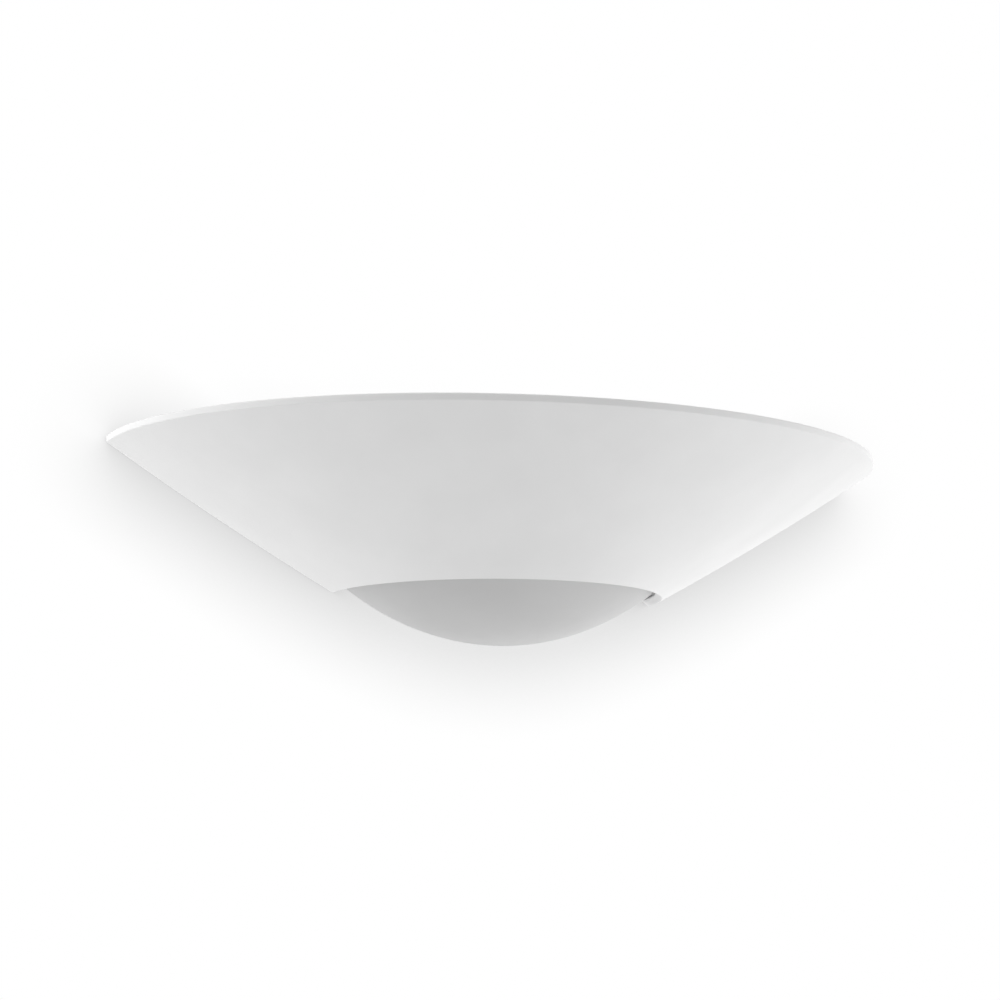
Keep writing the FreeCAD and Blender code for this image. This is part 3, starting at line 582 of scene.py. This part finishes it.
shade = mesh_object("shade_shell", *shade_shell(), "shade", "shade_ceramic")
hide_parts("ceramic_shade")
ears = [mesh_object(f"shade_ear_{name}", *shade_ear(side), "shade", "shade_ceramic")
        for name, side in (("right", 1), ("left", -1))]
dish = mesh_object("glass_half_dish", *glass_dish(), "glass", "opal_glass")
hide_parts("glass_bowl")
cap = mesh_object("lamp_screw_cap", *threaded_cap(), "lamp", "cap_metal")
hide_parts("lamp_cap")
pads = mesh_object("felt_wall_pads", *felt_pads(), "shade", "grey_felt")
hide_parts("wall_pads")
dots = mesh_object("glass_rest_dots", *glass_dots(), "shade", "clear_silicone")
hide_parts("glass_cushions")
sleeves = mesh_object("hook_sleeve_strips", *sleeve_strips(), "wall_bracket", "clear_silicone")
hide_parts("hook_sleeves")


# ---------------------------------------------------------------- materials

def add(tree, kind, inputs=None, **settings):
    """A node with its settings; an input is a number, a colour or another node's output."""
    node = tree.nodes.new(kind)
    for key, value in settings.items():
        setattr(node, key, value)
    for key, value in (inputs or {}).items():
        if isinstance(value, bpy.types.NodeSocket):
            tree.links.new(value, node.inputs[key])
        else:
            node.inputs[key].default_value = value
    return node


def new_surface(name, **fixed):
    material = bpy.data.materials.new(name)
    material.use_nodes = True
    shader = material.node_tree.nodes["Principled BSDF"]
    for key, value in fixed.items():
        shader.inputs[key.replace("_", " ")].default_value = value
    return material, material.node_tree, shader


def noise(tree, size, detail=4.0, rough=0.5, stretch=(1, 1, 1)):
    """Noise over the piece's own coordinates with features of about the given size in metres."""
    place = add(tree, "ShaderNodeTexCoord").outputs["Object"]
    scaled = add(tree, "ShaderNodeMapping", {"Vector": place, "Scale": stretch}).outputs["Vector"]
    return add(tree, "ShaderNodeTexNoise", {"Vector": scaled, "Scale": 1 / size, "Detail": detail,
                                            "Roughness": rough}).outputs["Fac"]


def remap(tree, value, low, high, to_low=0.0, to_high=1.0):
    return add(tree, "ShaderNodeMapRange", {"Value": value, "From Min": low, "From Max": high,
                                            "To Min": to_low, "To Max": to_high}).outputs["Result"]


def blend_colour(tree, share, first, second):
    node = add(tree, "ShaderNodeMix", data_type="RGBA")
    for socket, value in ((node.inputs[0], share), (node.inputs[6], first), (node.inputs[7], second)):
        if isinstance(value, bpy.types.NodeSocket):
            tree.links.new(value, socket)
        else:
            socket.default_value = value
    return node.outputs[2]


def times(tree, first, second):
    return add(tree, "ShaderNodeMath", {0: first, 1: second}, operation="MULTIPLY").outputs[0]


def edge_wear(tree, radius):
    """Near 1 along sharp edges, broken up by noise."""
    soft = add(tree, "ShaderNodeBevel", {"Radius": radius}, samples=4).outputs["Normal"]
    flat = add(tree, "ShaderNodeNewGeometry").outputs["Normal"]
    same = add(tree, "ShaderNodeVectorMath", {0: soft, 1: flat}, operation="DOT_PRODUCT").outputs["Value"]
    return times(tree, remap(tree, same, 0.99, 0.86), remap(tree, noise(tree, 0.002, 5), 0.42, 0.6))


def bumped(tree, shader, *layers):
    """Stacks bump layers of (height, depth in metres)."""
    normal = None
    for height, depth in layers:
        inputs = {"Height": height, "Strength": 1.0, "Distance": depth}
        if normal is not None:
            inputs["Normal"] = normal
        normal = add(tree, "ShaderNodeBump", inputs).outputs["Normal"]
    tree.links.new(normal, shader.inputs["Normal"])


def grey(value, warm=0.0):
    return (value * (1 + warm), value, value * (1 - warm), 1)


def ceramic(name, tone, warm, rough):
    """Matt cast ceramic: a hardly seen mottle, a fine tooth and a slow unevenness of the surface."""
    material, tree, shader = new_surface(name, Specular_IOR_Level=0.32)
    mottle = remap(tree, noise(tree, 0.028, 5), 0.35, 0.65)
    colour = blend_colour(tree, mottle, grey(tone * 0.985, warm), grey(tone * 1.01, warm))
    speck = remap(tree, noise(tree, 0.0009, 2), 0.70, 0.80)
    colour = blend_colour(tree, times(tree, speck, 0.5), colour, grey(tone * 0.93, warm))
    tree.links.new(colour, shader.inputs["Base Color"])
    tree.links.new(remap(tree, noise(tree, 0.012, 4), 0.3, 0.7, rough - 0.05, rough + 0.06),
                   shader.inputs["Roughness"])
    bumped(tree, shader, (noise(tree, 0.0006, 3), 0.00004), (noise(tree, 0.02, 2), 0.00012))
    return material


def opal(name, tone, rough, grain, depth):
    """Milky glass: light goes a little way in, and the etched skin has a very fine tooth."""
    material, tree, shader = new_surface(name, Subsurface_Weight=0.25, Subsurface_Scale=0.003,
                                         Subsurface_Radius=(1, 1, 1), IOR=1.5)
    cloud = remap(tree, noise(tree, 0.03, 3), 0.35, 0.65)
    tree.links.new(blend_colour(tree, cloud, grey(tone * 0.985), grey(tone * 1.01)),
                   shader.inputs["Base Color"])
    tree.links.new(remap(tree, noise(tree, 0.01, 4), 0.3, 0.7, rough - 0.04, rough + 0.04),
                   shader.inputs["Roughness"])
    bumped(tree, shader, (noise(tree, grain, 3), depth))
    return material


def metal(name, colour, rough, brushed, worn=None, stretch=(1, 1, 1)):
    """Bare or plated metal with fine tool marks, cloudy tone and brighter worn edges."""
    material, tree, shader = new_surface(name, Metallic=1.0)
    cloud = remap(tree, noise(tree, 0.004, 5), 0.35, 0.65)
    darker = tuple(c * 0.80 for c in colour) + (1,)
    base = blend_colour(tree, cloud, darker, tuple(colour) + (1,))
    lines = noise(tree, brushed, 4, 0.6, stretch)
    base = blend_colour(tree, times(tree, edge_wear(tree, 0.0004), 0.8), base,
                        tuple(worn or [min(1, c * 1.2) for c in colour]) + (1,))
    tree.links.new(base, shader.inputs["Base Color"])
    tree.links.new(remap(tree, lines, 0.25, 0.75, rough - 0.08, rough + 0.12), shader.inputs["Roughness"])
    bumped(tree, shader, (lines, 0.00003))
    return material


def moulded(name, colour, rough, grain=0.0005, depth=0.00002, spread=0.08, **fixed):
    """Moulded plastic or rubber: a faint swirl in the colour, a fine skin and dulled, paler edges."""
    material, tree, shader = new_surface(name, **fixed)
    swirl = remap(tree, noise(tree, 0.006, 4), 0.35, 0.65)
    low = tuple(c * (1 - spread) for c in colour) + (1,)
    high = tuple(min(1, c * (1 + spread)) for c in colour) + (1,)
    base = blend_colour(tree, swirl, low, high)
    pale = tuple(min(1, c * 1.15 + 0.02) for c in colour) + (1,)
    base = blend_colour(tree, times(tree, edge_wear(tree, 0.0004), 0.5), base, pale)
    tree.links.new(base, shader.inputs["Base Color"])
    tree.links.new(remap(tree, noise(tree, 0.003, 4), 0.3, 0.7, rough - 0.06, rough + 0.08),
                   shader.inputs["Roughness"])
    bumped(tree, shader, (noise(tree, grain, 3), depth))
    return material


def powder_coat(name, tone):
    """White powder coat: orange peel, and bare steel on a few worn edges."""
    material, tree, shader = new_surface(name)
    mottle = remap(tree, noise(tree, 0.01, 4), 0.35, 0.65)
    paint = blend_colour(tree, mottle, grey(tone * 0.97, 0.01), grey(tone, 0.01))
    bare = edge_wear(tree, 0.0005)
    colour = blend_colour(tree, bare, paint, (0.42, 0.42, 0.43, 1))
    tree.links.new(colour, shader.inputs["Base Color"])
    tree.links.new(times(tree, bare, 0.9), shader.inputs["Metallic"])
    tree.links.new(remap(tree, noise(tree, 0.004, 3), 0.3, 0.7, 0.42, 0.52), shader.inputs["Roughness"])
    bumped(tree, shader, (noise(tree, 0.0011, 2), 0.00006))
    return material


def felt(name, tone):
    """Pressed felt: short fibres in every direction over a cloudy grey."""
    material, tree, shader = new_surface(name, Roughness=0.95, Sheen_Weight=0.3)
    fibres = noise(tree, 0.0004, 6, 0.7, (1, 1, 3))
    crossing = noise(tree, 0.0004, 6, 0.7, (3, 1, 1))
    mixed = remap(tree, times(tree, fibres, crossing), 0.15, 0.35)
    tree.links.new(blend_colour(tree, mixed, grey(tone * 0.7), grey(tone * 1.2)), shader.inputs["Base Color"])
    bumped(tree, shader, (mixed, 0.00015))
    return material


def earth_cover(name):
    """Green wire cover with a yellow stripe on one side."""
    material, tree, shader = new_surface(name, Specular_IOR_Level=0.4)
    facing = add(tree, "ShaderNodeSeparateXYZ",
                 {0: add(tree, "ShaderNodeNewGeometry").outputs["Normal"]}).outputs["Y"]
    stripe = remap(tree, facing, -0.52, -0.48, 1.0, 0.0)
    swirl = remap(tree, noise(tree, 0.002, 3), 0.3, 0.7, 0.9, 1.0)
    colour = blend_colour(tree, stripe, (0.06, 0.28, 0.05, 1), (0.82, 0.68, 0.05, 1))
    colour = blend_colour(tree, swirl, (0.05, 0.05, 0.04, 1), colour)
    tree.links.new(colour, shader.inputs["Base Color"])
    tree.links.new(remap(tree, noise(tree, 0.003, 3), 0.3, 0.7, 0.35, 0.48), shader.inputs["Roughness"])
    bumped(tree, shader, (noise(tree, 0.0008, 2), 0.00001))
    return material


MATERIALS = {
    "shade_ceramic": ceramic("shade_ceramic_matt", 0.86, 0.0, 0.62),
    "opal_glass": opal("opal_glass_etched", 0.55, 0.42, 0.0005, 0.00003),
    "bracket_paint": powder_coat("bracket_powder_coat", 0.80),
    "zinc_steel": metal("zinc_plate", (0.62, 0.63, 0.65), 0.32, 0.0012, stretch=(1, 4, 4)),
    "brass": metal("turned_brass", (0.78, 0.58, 0.27), 0.28, 0.0008),
    "spring_bronze": metal("spring_bronze", (0.70, 0.43, 0.22), 0.30, 0.0008, stretch=(4, 1, 1)),
    "nickel": metal("nickel_plate", (0.66, 0.63, 0.58), 0.26, 0.0009),
    "cap_metal": metal("rolled_aluminium", (0.74, 0.74, 0.74), 0.30, 0.0010, stretch=(6, 1, 1)),
    "black_rubber": moulded("black_rubber", (0.028, 0.028, 0.03), 0.62, spread=0.2),
    "clear_silicone": moulded("milky_silicone", (0.74, 0.75, 0.75), 0.38, spread=0.03,
                              Subsurface_Weight=0.3, Subsurface_Scale=0.002),
    "white_nylon": moulded("white_nylon", (0.80, 0.79, 0.75), 0.42, spread=0.03),
    "holder_phenolic": moulded("ivory_phenolic", (0.80, 0.78, 0.71), 0.34, spread=0.04),
    "steatite": ceramic("steatite", 0.74, 0.03, 0.72),
    "brown_core": moulded("brown_wire_cover", (0.115, 0.045, 0.02), 0.40, spread=0.1),
    "blue_core": moulded("blue_wire_cover", (0.02, 0.08, 0.36), 0.40, spread=0.1),
    "earth_core": earth_cover("earth_wire_cover"),
    "grey_felt": felt("grey_felt", 0.30),
    "lamp_opal": opal("lamp_opal_glass", 0.86, 0.22, 0.004, 0.00001),
    "stem_glass": opal("stem_glass_pale", 0.60, 0.12, 0.003, 0.00002),
    "tungsten": metal("tungsten_coil", (0.34, 0.34, 0.35), 0.45, 0.0004),
    "black_glass": moulded("fused_black_glass", (0.02, 0.02, 0.024), 0.12, spread=0.2),
}

for row in frame["record"]["subparts"]:
    mesh = nodes[row["node"]].data
    mesh.materials.clear()
    mesh.materials.append(MATERIALS[row["material_slot"]])
for piece in [shade, dish, cap, pads, dots, sleeves] + ears:
    piece.data.materials.append(MATERIALS[piece["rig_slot"]])


# ---------------------------------------------------------------- wall, floor and light

def plane(name, corners, material):
    mesh = bpy.data.meshes.new(name)
    mesh.from_pydata(corners, [], [(0, 1, 2, 3)])
    mesh.materials.append(material)
    piece = bpy.data.objects.new(name, mesh)
    bpy.context.scene.collection.objects.link(piece)
    return piece


def backdrop(name, shade, reach):
    """White paint that the camera sees from its front only, with a painted shadow: its glow is darker where
    the object is close to it.
    """
    material = bpy.data.materials.new(name)
    material.use_nodes = True
    tree = material.node_tree
    tree.nodes.clear()
    openness = add(tree, "ShaderNodeAmbientOcclusion", {"Distance": reach}, samples=16).outputs["AO"]
    # painted shadow: the occlusion by the object turns the white glow down, standing in for the object's
    # contact shadow
    level = remap(tree, openness, 0.0, 1.0, 1.0 - shade, 1.0)
    paint = add(tree, "ShaderNodeEmission", {"Color": grey(1.0), "Strength": level}).outputs[0]
    clear = add(tree, "ShaderNodeBsdfTransparent").outputs[0]
    seen = add(tree, "ShaderNodeLightPath").outputs["Is Camera Ray"]
    back = add(tree, "ShaderNodeNewGeometry").outputs["Backfacing"]
    front = add(tree, "ShaderNodeMath", {0: 1.0, 1: back}, operation="SUBTRACT").outputs[0]
    mixed = add(tree, "ShaderNodeMixShader", {0: times(tree, seen, front), 1: clear, 2: paint}).outputs[0]
    tree.links.new(mixed, add(tree, "ShaderNodeOutputMaterial").inputs["Surface"])
    return material


WALL_Y = 0.0005
FLOOR_Z = -1.2
# both stage planes carry this painted shadow of the object
plane("wall_backdrop", [(-3, WALL_Y, FLOOR_Z), (3, WALL_Y, FLOOR_Z), (3, WALL_Y, 3), (-3, WALL_Y, 3)],
      backdrop("wall_white_painted_shadow", 0.58, 0.045))
plane("pale_floor", [(-4, -5, FLOOR_Z), (4, -5, FLOOR_Z), (4, 3, FLOOR_Z), (-4, 3, FLOOR_Z)],
      backdrop("floor_white_painted_shadow", 0.5, 0.2))

world = bpy.data.worlds.new("soft_studio")
bpy.context.scene.world = world
world.use_nodes = True
sky = world.node_tree
sky.nodes.clear()
towards = add(sky, "ShaderNodeTexCoord").outputs["Generated"]
parts = add(sky, "ShaderNodeSeparateXYZ", {0: towards})
SKY_LEVEL = 0.77
SKY_CEILING = 1.0
SKY_LEAN = {"Y": 0.66, "Z": -0.05}
SIDE_LIGHTS = (((0.928, -0.338, -0.155), 2.5), ((-0.956, 0.050, 0.290), 2.3))
level = SKY_LEVEL
for axis, lean in SKY_LEAN.items():
    share = times(sky, parts.outputs[axis], lean)
    level = add(sky, "ShaderNodeMath", {0: share, 1: level}, operation="ADD").outputs[0]
level = add(sky, "ShaderNodeMath", {0: level, 1: SKY_CEILING}, operation="MINIMUM").outputs[0]
for direction, strength in SIDE_LIGHTS:
    along = add(sky, "ShaderNodeVectorMath", {0: towards, 1: direction}, operation="DOT_PRODUCT")
    along = add(sky, "ShaderNodeMath", {0: along.outputs["Value"], 1: 0.0}, operation="MAXIMUM").outputs[0]
    soft = add(sky, "ShaderNodeMath", {0: along, 1: 6.0}, operation="POWER").outputs[0]
    level = add(sky, "ShaderNodeMath", {0: times(sky, soft, strength), 1: level}, operation="ADD").outputs[0]
path = add(sky, "ShaderNodeLightPath")
plain = add(sky, "ShaderNodeMath", {0: path.outputs["Is Camera Ray"], 1: path.outputs["Is Glossy Ray"]},
            operation="MAXIMUM").outputs[0]
plain = add(sky, "ShaderNodeMath", {0: plain, 1: path.outputs["Is Transmission Ray"]},
            operation="MAXIMUM").outputs[0]
strength = add(sky, "ShaderNodeMix", {0: plain, 2: level, 3: 1.0}, data_type="FLOAT").outputs[0]
glow = add(sky, "ShaderNodeBackground", {"Color": grey(1.0), "Strength": strength}).outputs[0]
sky.links.new(glow, add(sky, "ShaderNodeOutputWorld").inputs["Surface"])

# ---------------------------------------------------------------- camera

YAW = math.radians(20.496)
PITCH = math.radians(9.179)
lens = bpy.data.cameras.new("photo_view")
lens.sensor_width = 36.0
lens.lens = 82.67
camera = bpy.data.objects.new("photo_view", lens)
bpy.context.scene.collection.objects.link(camera)
camera.location = (-0.3735, -1.0081, -0.1695)
facing = Vector((math.sin(YAW) * math.cos(PITCH), math.cos(YAW) * math.cos(PITCH), math.sin(PITCH)))
camera.rotation_euler = facing.to_track_quat("-Z", "Y").to_euler()
bpy.context.scene.camera = camera
bpy.context.scene.view_settings.view_transform = "Standard"
